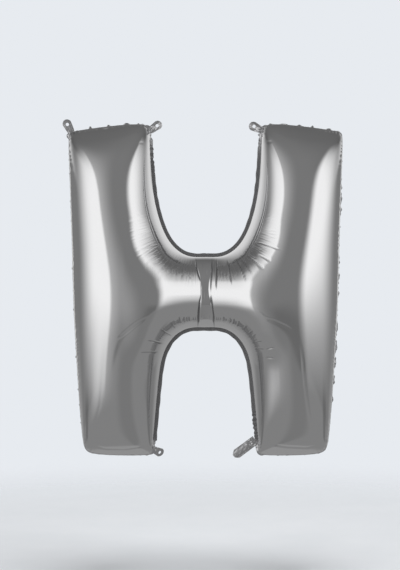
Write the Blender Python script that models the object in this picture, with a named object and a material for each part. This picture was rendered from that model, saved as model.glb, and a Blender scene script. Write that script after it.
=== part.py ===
"""A letter balloon of metallised film: two formed sheets sealed along a flat seam, hang tabs, a fill neck.

Units are metres.  X runs to the right, Z up, and the front faces -Y.  The seam lies in the plane Y = 0
and the origin is at the middle of the balloon, which floats or hangs there.
"""
import math

import bmesh
import bpy
import numpy as np
from mathutils import Matrix, Vector

# Sizes of the film and of the flat seam, and how finely the seam line is drawn
FOIL_WALL = 0.0015
SEAM_THICKNESS = 0.0010
CONTACT_GAP = 0.0003
SEAM_LAP = 0.0030
SEAM_MARGIN_OUTER = 0.0040
SEAM_MARGIN_NOTCH = 0.0075
NOTCH_REACH = 0.150
OUTLINE_STEPS = 4
FINE_STEPS = 24

# Seam line of the right half: spline corners (x, z) from the middle of the bar's lower edge to its top
BAR_BELOW = ((0.0, -0.1016), (0.045, -0.0985))
NOTCH_BELOW = (
    (0.0865, -0.1240), (0.1135, -0.1750), (0.1215, -0.2500), (0.1280, -0.3200), (0.1330, -0.3750),
    (0.1365, -0.4080),
)
FOOT = ((0.1380, -0.4260), (0.15039, -0.43034), (0.2265, -0.43075), (0.30261, -0.42567), (0.3150, -0.4165))
OUTER_SIDE = (
    (0.3170, -0.4000), (0.3205, -0.3680), (0.3255, -0.3150), (0.3300, -0.2480), (0.3350, -0.1730),
    (0.3380, -0.1180), (0.3405, -0.0780), (0.3430, -0.0080), (0.3450, 0.0640), (0.3455, 0.1050),
    (0.3475, 0.1600), (0.3500, 0.2350), (0.3520, 0.2980), (0.3545, 0.3540), (0.3545, 0.3900),
)
HEAD = ((0.3535, 0.4065), (0.33901, 0.40977), (0.2500, 0.4230), (0.16099, 0.43023), (0.1465, 0.4175))
NOTCH_ABOVE = (
    (0.1445, 0.3980), (0.1425, 0.3600), (0.1385, 0.3000), (0.1325, 0.2350), (0.1135, 0.1620),
    (0.0870, 0.1120),
)
BAR_ABOVE = ((0.045, 0.083), (0.0, 0.087))

# Round form: half depth over the root of twice the stress function, a little less where the strokes meet
FULLNESS = 0.965
JUNCTION_EASE = 0.04
JUNCTION_REACH = 0.22
SOURCE_SETBACK = 0.015
SOURCE_SPACING = 0.008

# Crossbar: flat panel in the middle, a straight rise from each of its pleats, then the leg's own round
BAR_MIDDLE_Z = -0.008
PANEL_LEFT = -0.0175
PANEL_RIGHT = 0.0150
PANEL_HEIGHT = 0.0735
BAR_RISE = 0.51
RISE_END = 0.096
CREST_AT = 0.215
CREST_FADE = 0.150
BAR_REACH = 0.185
BAR_FADE = 0.09

# About the bar the film hangs a little: fuller below the bar's middle than above it
SAG = 0.08
SAG_HALF = 0.095
SAG_ACROSS = 0.210
SAG_UP = 0.200
SAG_FADE = 0.095

# Ends of the legs: slope of the end faces, and how sharp the ridges are where they meet the round form
HEAD_SLOPE = 1.05
FOOT_SLOPE = 1.15
RIDGE_SHARPNESS = 3.2

# Faces of a sheet: across a leg, along each arm of a leg, up the bar, and along half the bar
LEG_COLUMNS = 14
ARM_ROWS = 12
BAR_ROWS = 14
BAR_COLUMNS = 5
SEAM_CROWDING = 0.80
ARM_CROWDING = 0.45
WELD = 0.00001

# Hang tabs: name, x and z of the seam corner, direction in degrees from +X towards +Z, fold to the back
TAB_LENGTH = 0.032
TAB_ROOT_WIDTH = 0.019
TAB_WIDTH = 0.0236
TAB_THICKNESS = 0.0008
TAB_HOLE_RADIUS = 0.0042
TAB_HOLE_FROM_ROOT = 0.0185
HINGE_GAP = 0.0007
HANG_TABS = (
    ("hang_tab_left_outer_top", -0.345, 0.402, 118.0, 0.0),
    ("hang_tab_left_inner_top", -0.150, 0.408, 33.0, 0.0),
    ("hang_tab_right_inner_top", 0.150, 0.410, 152.0, 0.0),
    ("hang_tab_left_inner_bottom", -0.139, -0.412, -33.0, 45.0),
)

# Fill neck: a flat sleeve of two sheets with its mouth at the far end, and the valve film between them
NECK_PLACE = (0.140, -0.383, 216.5)
NECK_LENGTH = 0.062
NECK_WIDTH = 0.0246
NECK_THICKNESS = 0.0022
NECK_ROOT_THICKNESS = 0.0008
NECK_CHAMFER = 0.007
NECK_ROOT_LENGTH = 0.010
MOUTH_WIDTH = 0.0150
MOUTH_HEIGHT = 0.0010
MOUTH_DEPTH = 0.040
VALVE_WIDTH = 0.0130
VALVE_THICKNESS = 0.0004
VALVE_CLEARANCE = 0.0010


def clear_scene():
    """Remove every object, so the script can be run again in an open file."""
    for item in list(bpy.data.objects):
        bpy.data.objects.remove(item, do_unlink=True)


def new_collection(name):
    """A collection linked to the scene."""
    collection = bpy.data.collections.new(name)
    bpy.context.scene.collection.children.link(collection)
    return collection


def new_material(name, colour, roughness, metallic):
    """A Principled material with one colour."""
    material = bpy.data.materials.new(name)
    material.use_nodes = True
    shader = material.node_tree.nodes["Principled BSDF"]
    shader.inputs["Base Color"].default_value = (*colour, 1.0)
    shader.inputs["Roughness"].default_value = roughness
    shader.inputs["Metallic"].default_value = metallic
    return material


def add_object(name, data, collection, material):
    """Link new data as an object with one material."""
    item = bpy.data.objects.new(name, data)
    collection.objects.link(item)
    item.data.materials.append(material)
    return item


def smooth(share):
    """A step with soft ends, from 0 to 1."""
    held = np.clip(share, 0.0, 1.0)
    return held * held * (3.0 - 2.0 * held)


def half_rim_corners():
    """Spline corners of the right half, in order."""
    return BAR_BELOW + NOTCH_BELOW + FOOT + OUTER_SIDE + HEAD + NOTCH_ABOVE + BAR_ABOVE


def rim_outline(steps=OUTLINE_STEPS):
    """The seam line as a closed cubic B-spline, anticlockwise as seen from the front."""
    half = half_rim_corners()
    corners = np.array(half + tuple((-x, z) for x, z in half[-2:0:-1]))
    before = np.roll(corners, 1, axis=0)
    after = np.roll(corners, -1, axis=0)
    beyond = np.roll(corners, -2, axis=0)
    points = []
    for step in range(steps):
        t = step / steps
        weight_before = (1.0 - t) ** 3 / 6.0
        weight_here = (3.0 * t ** 3 - 6.0 * t ** 2 + 4.0) / 6.0
        weight_after = (-3.0 * t ** 3 + 3.0 * t ** 2 + 3.0 * t + 1.0) / 6.0
        weight_beyond = t ** 3 / 6.0
        near = weight_before * before + weight_here * corners + weight_after * after
        points.append(near + weight_beyond * beyond)
    return np.stack(points, axis=1).reshape(-1, 2)


def rim_part(first, last):
    """Part of the right half's seam line between two of its spline corners."""
    return rim_outline(FINE_STEPS)[first * FINE_STEPS: last * FINE_STEPS + 1]


def running_length(line):
    """Length along a line of points, from its first point to each point."""
    return np.concatenate(([0.0], np.cumsum(np.linalg.norm(np.diff(line, axis=0), axis=1))))


def along(line, share):
    """Points at shares, 0 to 1, of a line's whole length."""
    length = running_length(line)
    at = np.asarray(share) * length[-1]
    return np.stack([np.interp(at, length, line[:, k]) for k in (0, 1)], axis=-1)


def even_points(spacing):
    """Points at an even spacing along the seam line, with the outward direction at each."""
    line = rim_outline(FINE_STEPS)
    closed = np.vstack((line, line[:1]))
    count = int(running_length(closed)[-1] / spacing)
    points = along(closed, np.arange(count) / count)
    run = np.roll(points, -1, axis=0) - np.roll(points, 1, axis=0)
    outward = np.stack((run[:, 1], -run[:, 0]), axis=1)
    return points, outward / np.linalg.norm(outward, axis=1)[:, None]


def log_distance(points, sources):
    """Natural logarithm of the distance from every point to every source."""
    apart = points[:, None] - sources[None]
    return 0.5 * np.log((apart ** 2).sum(axis=2))


def solve_sources():
    """Point sources outside the seam line, and the strengths that make the stress function 0 on it."""
    base, outward = even_points(SOURCE_SPACING)
    sources = base + SOURCE_SETBACK * outward
    held, _ = even_points(SOURCE_SPACING / 2.0)
    bowl = (held ** 2).sum(axis=1) / 4.0
    strengths = np.linalg.lstsq(log_distance(held, sources), bowl, rcond=1e-12)[0]
    return sources, strengths


def free_height(points, sources, strengths):
    """Half depth of the freely inflated form: it swells where the strokes meet."""
    stress = log_distance(points, sources) @ strengths - (points ** 2).sum(axis=1) / 4.0
    from_middle = (points[:, 1] - BAR_MIDDLE_Z) / JUNCTION_REACH
    fullness = FULLNESS * (1.0 - JUNCTION_EASE * np.exp(-from_middle ** 2))
    return fullness * np.sqrt(2.0 * np.maximum(stress, 0.0))


def bar_line(x):
    """Height along the bar's middle: the panel's, then a straight rise that eases to level at the crest."""
    reach = np.maximum(np.maximum(x - PANEL_RIGHT, PANEL_LEFT - x), 0.0)
    knee = RISE_END - PANEL_RIGHT
    ease = CREST_AT - RISE_END
    past = np.clip(reach - knee, 0.0, ease)
    return PANEL_HEIGHT + BAR_RISE * (np.minimum(reach, knee) + past - past ** 2 / (2.0 * ease))


def end_edge(first):
    """Seam line of a leg's end between four spans of it, with x increasing."""
    edge = rim_part(first, first + 4)
    return edge if edge[-1, 0] > edge[0, 0] else edge[::-1]


def sheet_height(points, sources, strengths):
    """Half depth at points (x, z): the free form, changed about the bar and cut off softly at the ends."""
    across = np.abs(points[:, 0])
    up = points[:, 1]
    free = free_height(points, sources, strengths)
    middle = np.stack((points[:, 0], np.full(len(points), BAR_MIDDLE_Z)), axis=1)
    lowered = bar_line(points[:, 0]) / np.maximum(free_height(middle, sources, strengths), WELD)
    beside = smooth((CREST_AT - across) / CREST_FADE)
    level = smooth((BAR_REACH - np.abs(up - BAR_MIDDLE_Z)) / BAR_FADE)
    height = free * (1.0 + (lowered - 1.0) * beside * level)
    from_middle = up - BAR_MIDDLE_Z
    near_bar = smooth((SAG_ACROSS - across) / SAG_FADE) * smooth((SAG_UP - np.abs(from_middle)) / SAG_FADE)
    height = height * (1.0 - SAG * np.clip(from_middle / SAG_HALF, -1.6, 1.6) * near_bar)
    foot = end_edge(len(BAR_BELOW) + len(NOTCH_BELOW))
    head = end_edge(len(BAR_BELOW) + len(NOTCH_BELOW) + len(FOOT) + len(OUTER_SIDE))
    below_head = np.interp(across, head[:, 0], head[:, 1]) - up
    above_foot = up - np.interp(across, foot[:, 0], foot[:, 1])
    parts = (height, HEAD_SLOPE * below_head, FOOT_SLOPE * above_foot)
    total = sum(np.maximum(part, WELD) ** -RIDGE_SHARPNESS for part in parts)
    return np.where(height > WELD, total ** (-1.0 / RIDGE_SHARPNESS), 0.0)


def crowded(count, strength):
    """Shares from 0 to 1 whose steps shrink towards both ends."""
    even = np.linspace(0.0, 1.0, count + 1)
    return even - strength * np.sin(2.0 * np.pi * even) / (2.0 * np.pi)


def stretched_patch(left, right, bottom, top, across, up):
    """Grid of points between four edges: both blends of opposite edges, less the blend of the corners."""
    a = across[..., None]
    v = up[:, None, None]
    sides = (1.0 - a) * left[:, None] + a * right[:, None]
    ends = (1.0 - v) * along(bottom, across) + v * along(top, across)
    low = (1.0 - a) * bottom[0] + a * bottom[-1]
    high = (1.0 - a) * top[0] + a * top[-1]
    return sides + ends - (1.0 - v) * low - v * high


def leg_and_bar_patches():
    """Grids over the right leg and the bar's right half, with the same points where they meet."""
    low_fillet = len(BAR_BELOW)
    foot_inner = low_fillet + len(NOTCH_BELOW)
    foot_outer = foot_inner + len(FOOT) - 1
    head_outer = foot_outer + len(OUTER_SIDE) + 1
    head_inner = head_outer + len(HEAD) - 1
    high_fillet = head_inner + len(NOTCH_ABOVE)
    last = high_fillet + len(BAR_ABOVE)
    bar_bottom = rim_part(0, low_fillet)
    bar_top = rim_part(high_fillet, last)[::-1]
    bar_up = crowded(BAR_ROWS, SEAM_CROWDING)
    mouth = bar_bottom[-1] + bar_up[:, None] * (bar_top[-1] - bar_bottom[-1])
    middle = bar_bottom[0] + bar_up[:, None] * (bar_top[0] - bar_bottom[0])
    even = np.linspace(0.0, 1.0, BAR_COLUMNS + 1)
    bar_across = np.broadcast_to(even, (BAR_ROWS + 1, BAR_COLUMNS + 1))
    bar = stretched_patch(middle, mouth, bar_bottom, bar_top, bar_across, bar_up)

    arm_low = along(rim_part(low_fillet, foot_inner)[::-1], crowded(ARM_ROWS, ARM_CROWDING))
    arm_high = along(rim_part(head_inner, high_fillet)[::-1], crowded(ARM_ROWS, ARM_CROWDING))
    inner = np.vstack((arm_low[:-1], mouth, arm_high[1:]))
    side = rim_part(foot_outer, head_outer)
    up = (inner[:, 1] - inner[0, 1]) / (inner[-1, 1] - inner[0, 1])
    outer_z = side[0, 1] + up * (side[-1, 1] - side[0, 1])
    outer = np.stack((np.interp(outer_z, side[:, 1], side[:, 0]), outer_z), axis=1)
    even = np.linspace(0.0, 1.0, LEG_COLUMNS + 1)
    at_seam = crowded(LEG_COLUMNS, SEAM_CROWDING)
    at_mouth = 0.35 * even + 0.65 * np.sin(0.5 * np.pi * even)
    opening = np.zeros(len(inner))
    opening[ARM_ROWS: ARM_ROWS + BAR_ROWS + 1] = smooth(np.minimum(bar_up, 1.0 - bar_up) / 0.22)
    leg_across = (1.0 - opening[:, None]) * at_seam + opening[:, None] * at_mouth
    foot = rim_part(foot_inner, foot_outer)
    head = rim_part(head_outer, head_inner)[::-1]
    leg = stretched_patch(inner, outer, foot, head, leg_across, up)
    return leg, bar


def letter_plan():
    """The whole letter in the seam plane as one mesh of four-sided faces that face the front."""
    plan = bmesh.new()
    for patch in leg_and_bar_patches():
        for mirror in (1.0, -1.0):
            grid = [[plan.verts.new((mirror * x, 0.0, z)) for x, z in row] for row in patch]
            for below, above in zip(grid[:-1], grid[1:]):
                for column in range(len(below) - 1):
                    loop = [below[column], below[column + 1], above[column + 1], above[column]]
                    if mirror < 0.0:
                        loop.reverse()
                    plan.faces.new(loop)
    bmesh.ops.remove_doubles(plan, verts=plan.verts, dist=WELD)
    return plan


def build_foil(name, side, sources, strengths, collection, material):
    """One formed sheet, its wall towards the inside: side is -1 for the front sheet, 1 for the back one."""
    plan = letter_plan()
    rim = SEAM_THICKNESS / 2.0 + CONTACT_GAP
    places = np.array([(vert.co.x, vert.co.z) for vert in plan.verts])
    on_rim = np.array([vert.is_boundary for vert in plan.verts])
    height = np.where(on_rim, 0.0, sheet_height(places, sources, strengths))
    for vert, lift in zip(plan.verts, height):
        vert.co.y = side * (rim + lift)
    if side > 0.0:
        bmesh.ops.reverse_faces(plan, faces=plan.faces)
    plan.normal_update()
    outer_verts = plan.verts[:]
    outer_faces = plan.faces[:]
    rim_edges = [edge for edge in plan.edges if edge.is_boundary]
    inner = {}
    for vert in outer_verts:
        place = vert.co - FOIL_WALL * vert.normal
        place.y = side * max(abs(place.y), rim)
        inner[vert] = place
    inner = {vert: plan.verts.new(place) for vert, place in inner.items()}
    for face in outer_faces:
        plan.faces.new([inner[vert] for vert in reversed(face.verts[:])])
    for edge in rim_edges:
        first, second = edge.verts
        plan.faces.new((first, second, inner[second], inner[first]))
    bmesh.ops.recalc_face_normals(plan, faces=plan.faces)
    mesh = bpy.data.meshes.new(name)
    plan.to_mesh(mesh)
    plan.free()
    mesh.shade_smooth()
    return add_object(name, mesh, collection, material)


def moved_outline(outline, distance):
    """The outline moved outwards by a distance, one number or one for each point."""
    run = np.roll(outline, -1, axis=0) - np.roll(outline, 1, axis=0)
    outward = np.column_stack((run[:, 1], -run[:, 0]))
    outward /= np.linalg.norm(outward, axis=1)[:, None]
    return outline + outward * np.broadcast_to(distance, len(outline))[:, None]


def seam_outer_outline():
    """Outer edge of the seam: wide in the notches, narrow round the outside where the film draws in."""
    outline = rim_outline()
    in_notch = np.clip((NOTCH_REACH - np.abs(outline[:, 0])) / 0.02, 0.0, 1.0)
    in_notch[np.abs(outline[:, 1]) > 0.412] = 0.0
    margin = SEAM_MARGIN_OUTER + (SEAM_MARGIN_NOTCH - SEAM_MARGIN_OUTER) * in_notch
    return moved_outline(outline, margin)


def add_flat_loop(curve, points):
    """Add one closed straight-sided loop to a flat curve."""
    spline = curve.splines.new("POLY")
    spline.points.add(len(points) - 1)
    for target, point in zip(spline.points, points):
        target.co = (point[0], point[1], 0.0, 1.0)
    spline.use_cyclic_u = True


def flat_curve(name, loops, thickness):
    """A filled flat outline of the given thickness, centred on its own plane."""
    curve = bpy.data.curves.new(name, "CURVE")
    curve.dimensions = "2D"
    curve.fill_mode = "BOTH"
    curve.extrude = thickness / 2.0
    for loop in loops:
        add_flat_loop(curve, loop)
    return curve


def upright_matrix(x, z, direction_deg, fold_deg):
    """Frame of a flat piece: its X runs along the direction, its Z is its thickness, folded about its Y."""
    upright = Matrix.Rotation(math.radians(90.0), 4, "X")
    turn = Matrix.Rotation(math.radians(direction_deg), 4, "Z")
    fold = Matrix.Rotation(math.radians(fold_deg), 4, "Y")
    return Matrix.Translation((x, 0.0, z)) @ upright @ turn @ fold


def build_seam_band(collection, material):
    """The flat heat-sealed seam all round the letter, lapping under both sheets."""
    inner = moved_outline(rim_outline(), -SEAM_LAP)
    curve = flat_curve("seam_band", (seam_outer_outline(), inner), SEAM_THICKNESS)
    seam = add_object("seam_band", curve, collection, material)
    seam.rotation_euler = (math.radians(90.0), 0.0, 0.0)
    return seam


def seam_reach(x, z, direction_deg, width):
    """The point on a corner's centre line that just clears the seam's outer edge, with the hinge gap."""
    corners = seam_outer_outline()
    run = np.roll(corners, -1, axis=0) - corners
    outline = np.concatenate([corners + share * run for share in np.linspace(0.0, 0.9, 10)])
    along = np.array((math.cos(math.radians(direction_deg)), math.sin(math.radians(direction_deg))))
    aside = np.array((-along[1], along[0]))
    offset = outline - np.array((x, z))
    near = (np.abs(offset @ aside) < width / 2.0) & (np.linalg.norm(offset, axis=1) < 0.04)
    reach = (offset[near] @ along).max() + HINGE_GAP
    return x + along[0] * reach, z + along[1] * reach


def arc(centre_x, centre_y, radius, start_deg, end_deg, count):
    """Points along an arc, both ends included."""
    angles = np.radians(np.linspace(start_deg, end_deg, count))
    return [(centre_x + radius * math.cos(a), centre_y + radius * math.sin(a)) for a in angles]


def tab_outline():
    """A tab that widens from its root to a round end."""
    half = TAB_WIDTH / 2.0
    round_start = TAB_LENGTH - half
    outline = [(0.0, -TAB_ROOT_WIDTH / 2.0)]
    outline += arc(round_start, 0.0, half, -90.0, 90.0, 13)
    outline += [(0.0, TAB_ROOT_WIDTH / 2.0)]
    return outline


def build_hang_tab(name, x, z, direction_deg, fold_deg, collection, material):
    """A flat film tab with a punched hole, its origin on the fold line at its root."""
    hole = arc(TAB_HOLE_FROM_ROOT, 0.0, TAB_HOLE_RADIUS, 0.0, 337.5, 16)
    curve = flat_curve(name, (tab_outline(), hole), TAB_THICKNESS)
    tab = add_object(name, curve, collection, material)
    root_x, root_z = seam_reach(x, z, direction_deg, TAB_ROOT_WIDTH)
    tab.matrix_world = upright_matrix(root_x, root_z, direction_deg, fold_deg)
    return tab


def new_box(name, low, high, collection, material):
    """A box between two corners, as a mesh object at the origin."""
    cage = bmesh.new()
    bmesh.ops.create_cube(cage, size=1.0)
    size = Vector(high) - Vector(low)
    middle = (Vector(high) + Vector(low)) / 2.0
    matrix = Matrix.Translation(middle) @ Matrix.Diagonal((*size, 1.0))
    bmesh.ops.transform(cage, matrix=matrix, verts=cage.verts)
    mesh = bpy.data.meshes.new(name)
    cage.to_mesh(mesh)
    cage.free()
    return add_object(name, mesh, collection, material)


def build_fill_neck(collection, cutters, material):
    """A flat sleeve, thin at its sealed root, with chamfered corners and an open mouth at the far end."""
    half_width = NECK_WIDTH / 2.0
    half_thickness = NECK_THICKNESS / 2.0
    neck = new_box(
        "fill_neck", (0.0, -half_width, -half_thickness), (NECK_LENGTH, half_width, half_thickness),
        collection, material,
    )
    cage = bmesh.new()
    cage.from_mesh(neck.data)
    far_edges = [
        edge for edge in cage.edges
        if all(vert.co.x > NECK_LENGTH / 2.0 for vert in edge.verts)
        and abs(edge.verts[0].co.z - edge.verts[1].co.z) > half_thickness
    ]
    bmesh.ops.bevel(cage, geom=far_edges, offset=NECK_CHAMFER, segments=2, affect="EDGES", profile=0.5)
    everything = cage.verts[:] + cage.edges[:] + cage.faces[:]
    root_end = Vector((NECK_ROOT_LENGTH, 0.0, 0.0))
    bmesh.ops.bisect_plane(cage, geom=everything, plane_co=root_end, plane_no=Vector((1.0, 0.0, 0.0)))
    for vert in cage.verts:
        if vert.co.x < NECK_ROOT_LENGTH / 2.0:
            vert.co.z *= NECK_ROOT_THICKNESS / NECK_THICKNESS
    cage.to_mesh(neck.data)
    cage.free()
    root_x, root_z = seam_reach(*NECK_PLACE, NECK_WIDTH)
    frame = upright_matrix(root_x, root_z, NECK_PLACE[2], 0.0)
    neck.matrix_world = frame
    mouth = new_box(
        "mouth_cutter",
        (NECK_LENGTH - MOUTH_DEPTH, -MOUTH_WIDTH / 2.0, -MOUTH_HEIGHT / 2.0),
        (NECK_LENGTH + MOUTH_DEPTH, MOUTH_WIDTH / 2.0, MOUTH_HEIGHT / 2.0),
        cutters, material,
    )
    mouth.matrix_world = frame
    mouth.hide_render = True
    mouth.display_type = "WIRE"
    cut = neck.modifiers.new("Mouth", "BOOLEAN")
    cut.operation = "DIFFERENCE"
    cut.object = mouth
    return neck, frame


def build_fill_valve(frame, collection, material):
    """The thin valve film between the neck's two sheets, its end flush with the mouth."""
    valve = new_box(
        "fill_valve",
        (NECK_LENGTH - MOUTH_DEPTH + VALVE_CLEARANCE, -VALVE_WIDTH / 2.0, -VALVE_THICKNESS / 2.0),
        (NECK_LENGTH, VALVE_WIDTH / 2.0, VALVE_THICKNESS / 2.0),
        collection, material,
    )
    valve.matrix_world = frame
    return valve


def main():
    clear_scene()
    balloon = new_collection("letter_balloon")
    cutters = new_collection("cutters")
    foil = new_material("silver_film", (0.60, 0.60, 0.61), 0.14, 1.0)
    sealed = new_material("sealed_film", (0.45, 0.45, 0.46), 0.30, 1.0)
    clear = new_material("valve_film", (0.75, 0.77, 0.78), 0.40, 0.0)
    sources, strengths = solve_sources()
    build_foil("front_foil", -1.0, sources, strengths, balloon, foil)
    build_foil("back_foil", 1.0, sources, strengths, balloon, foil)
    build_seam_band(balloon, sealed)
    for name, x, z, direction_deg, fold_deg in HANG_TABS:
        build_hang_tab(name, x, z, direction_deg, fold_deg, balloon, foil)
    _, neck_frame = build_fill_neck(balloon, cutters, foil)
    build_fill_valve(neck_frame, balloon, clear)


main()
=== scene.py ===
# %% [markdown]
# # A silver letter balloon
#
# The real object is two sheets of metallised film, sealed to each other along a flat seam and blown up
# tight. Its looks are almost all reflection, so the lesson spends its effort on two things: a sheet whose
# curvature is right everywhere, pleats included, and soft studio light for that sheet to mirror. The packed
# model gives the frame: every piece here is made in its place, in metres, and the sheets, the sealed edge
# and the valve ride on its bodies.

import math

import bmesh
import bpy
import numpy as np
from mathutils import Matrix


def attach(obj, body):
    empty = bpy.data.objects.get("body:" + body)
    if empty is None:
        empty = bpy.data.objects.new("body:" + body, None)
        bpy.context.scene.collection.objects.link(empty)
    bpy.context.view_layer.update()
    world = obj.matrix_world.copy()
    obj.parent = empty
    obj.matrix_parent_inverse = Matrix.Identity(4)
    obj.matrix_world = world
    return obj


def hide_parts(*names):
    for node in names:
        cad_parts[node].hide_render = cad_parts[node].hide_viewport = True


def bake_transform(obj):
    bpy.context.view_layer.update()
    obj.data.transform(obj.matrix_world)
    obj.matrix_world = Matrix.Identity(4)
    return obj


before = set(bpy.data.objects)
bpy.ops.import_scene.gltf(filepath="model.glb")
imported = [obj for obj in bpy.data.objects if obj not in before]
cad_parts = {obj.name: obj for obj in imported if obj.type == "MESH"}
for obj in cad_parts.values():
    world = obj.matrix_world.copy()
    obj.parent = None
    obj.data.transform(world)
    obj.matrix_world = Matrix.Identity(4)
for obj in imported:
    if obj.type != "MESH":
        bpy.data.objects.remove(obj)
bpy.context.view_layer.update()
MM = 0.001

# %% [markdown]
# ## The line where the sheets meet
#
# Seen from the front, the seam's inner line is one closed curve round the letter. It could be drawn as
# straight lines with rounded corners, but film that is blown up never keeps a straight edge. A cubic
# B-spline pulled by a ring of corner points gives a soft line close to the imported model's, only rounder at
# the outer corners of the feet. Only the right half is written down; the left half is its mirror image.

# %% Corner points of the right half, from the bottom of the bar round to its top, in millimetres
BAR_BELOW = [(0, -101.6), (45, -98.5)]
NOTCH_BELOW = [(86.5, -124), (113.5, -175), (121.5, -250), (128, -320), (133, -375), (136.5, -408)]
FOOT = [(138, -426), (150.4, -430.3), (226.5, -430.8), (297, -427.0), (311, -417.0)]
OUTER_SIDE = [
    (316.5, -401), (320.5, -368), (325.5, -315), (330, -248), (335, -173), (338, -118), (340.5, -78),
    (343, -8), (345, 64), (345.5, 105), (347.5, 160), (350, 235), (352, 298), (354.5, 354), (354.5, 390),
]
HEAD = [(353.5, 406.5), (339, 409.8), (250, 423), (161, 430.2), (146.5, 417.5)]
NOTCH_ABOVE = [(144.5, 398), (142.5, 360), (138.5, 300), (132.5, 235), (113.5, 162), (87, 112)]
BAR_ABOVE = [(45, 83), (0, 87)]
SPAN_STEPS = 48


def closed_spline(corners, steps):
    """Uniform cubic B-spline: four corners about a span, weighted by cubic polynomials of the share t."""
    t = (np.arange(steps) / steps)[None, :, None]
    weights = ((1 - t) ** 3, 3 * t**3 - 6 * t**2 + 4, -3 * t**3 + 3 * t**2 + 3 * t + 1, t**3)
    parts = [w * np.roll(corners, shift, axis=0)[:, None] for w, shift in zip(weights, (1, 0, -1, -2))]
    return sum(parts).reshape(-1, 2) / 6.0


half = BAR_BELOW + NOTCH_BELOW + FOOT + OUTER_SIDE + HEAD + NOTCH_ABOVE + BAR_ABOVE
rim_corners = np.array(half + [(-x, z) for x, z in half[-2:0:-1]]) * MM
rim = closed_spline(rim_corners, SPAN_STEPS)
half_rim = rim[: (len(half) - 1) * SPAN_STEPS + 1]

# Numbers of the corner points at which one part of the letter ends and the next begins
LOW_FILLET = len(BAR_BELOW)
FOOT_INNER = LOW_FILLET + len(NOTCH_BELOW)
FOOT_OUTER = FOOT_INNER + len(FOOT) - 1
HEAD_OUTER = FOOT_OUTER + len(OUTER_SIDE) + 1
HEAD_INNER = HEAD_OUTER + len(HEAD) - 1
HIGH_FILLET = HEAD_INNER + len(NOTCH_ABOVE)


def half_rim_part(first, last):
    """Part of the right half's rim between two of its corner points."""
    return half_rim[first * SPAN_STEPS: last * SPAN_STEPS + 1]


def running_length(line):
    """Length along a line of points, from its first point to each point."""
    return np.concatenate(([0.0], np.cumsum(np.linalg.norm(np.diff(line, axis=0), axis=1))))


half_length = running_length(half_rim)
print("seam length round the letter: %.3f m" % (2 * half_length[-1]))

# %% [markdown]
# ## How far the film blows out
#
# Gas pushes the sheets apart until they are as round as their width allows. Simulating that is slow and
# never quite smooth. The stress function of a twisted bar with the letter's section gives nearly the same
# shape in one step: it is 0 on the rim, its curvature is -1 everywhere inside, and the root of twice its
# value is an exact half circle over a long straight stroke and swells by itself where strokes meet.

# %% Stress function: a bowl plus point sources placed outside the rim
SOURCE_SETBACK = 0.015
SOURCE_SPACING = 0.008


def even_points(line, spacing):
    """Points at an even spacing along a closed line, with the outward direction at each."""
    closed = np.vstack((line, line[:1]))
    length = running_length(closed)
    count = int(length[-1] / spacing)
    at = np.arange(count) * length[-1] / count
    points = np.stack([np.interp(at, length, closed[:, k]) for k in (0, 1)], axis=1)
    run = np.roll(points, -1, axis=0) - np.roll(points, 1, axis=0)
    outward = np.stack((run[:, 1], -run[:, 0]), axis=1)
    return points, outward / np.linalg.norm(outward, axis=1)[:, None]


def log_distance(points, sources):
    """Natural logarithm of the distance from every point to every source."""
    apart = points[:, None] - sources[None]
    return 0.5 * np.log((apart**2).sum(axis=2))


source_base, source_out = even_points(rim, SOURCE_SPACING)
sources = source_base + SOURCE_SETBACK * source_out
held_points, _ = even_points(rim, SOURCE_SPACING / 2)
bowl = (held_points**2).sum(axis=1) / 4.0
strengths = np.linalg.lstsq(log_distance(held_points, sources), bowl, rcond=1e-12)[0]
left_over = log_distance(held_points, sources) @ strengths - bowl
print("stress function on the rim is 0 within %.1e" % np.abs(left_over).max())


def stress_function(points):
    """Sum of strength times log distance, less the bowl (x squared + z squared) / 4."""
    blocks = np.array_split(points, max(1, len(points) // 8000))
    harmonic = np.concatenate([log_distance(block, sources) @ strengths for block in blocks])
    return np.maximum(harmonic - (points**2).sum(axis=1) / 4.0, 0.0)


# %% [markdown]
# ## Ends of the strokes
#
# At the head and foot of each leg the seam is drawn in like the end of a pillow, and the film leaves it at
# a slope instead of standing upright. That makes the flat sloping end faces that the real balloon has.
# Cutting the form with a plane would leave a hard edge. A smooth minimum of the round height and a sloping
# plane gives both the face and the soft ridges at its sides. The bar gets the same care: a flat panel in
# its middle, a straight rise to each leg, and a slight swell below.

# %% Height of the sheet above the seam
FULLNESS = 0.965
JUNCTION_EASE = 0.04
JUNCTION_REACH = 0.22
HEAD_SLOPE = 1.2
FOOT_SLOPE = 1.15
RIDGE_SHARPNESS = 2.5
BAR_MIDDLE_Z = -0.008
head_edge = half_rim_part(HEAD_OUTER, HEAD_INNER)[::-1]
foot_edge = half_rim_part(FOOT_INNER, FOOT_OUTER)


def smooth(share):
    """3 s^2 - 2 s^3 between 0 and 1: a step with soft ends."""
    held = np.clip(share, 0.0, 1.0)
    return held * held * (3.0 - 2.0 * held)


def within(value, limit, fade):
    """Smooth step of (limit - |value|) / fade: 1 well inside the limit, 0 beyond it."""
    return smooth((limit - np.abs(value)) / fade)


def past(value, limit, fade):
    """Smooth step of (|value| - limit) / fade: 0 inside the limit, 1 well beyond it."""
    return smooth((np.abs(value) - limit) / fade)


# Across the bar: flat panel in the middle, a straight rise from each of its pleats, then the leg's own round
RISE_START = 0.0150
RISE_END = 0.096
CREST_AT = 0.215
BAR_RISE = 0.51
PANEL_HEIGHT = 0.0735
SAG = 0.08
SAG_HALF = 0.095
SWELL = 0.0032
SWELL_Z = -0.047
SWELL_HALF = 0.030
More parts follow.
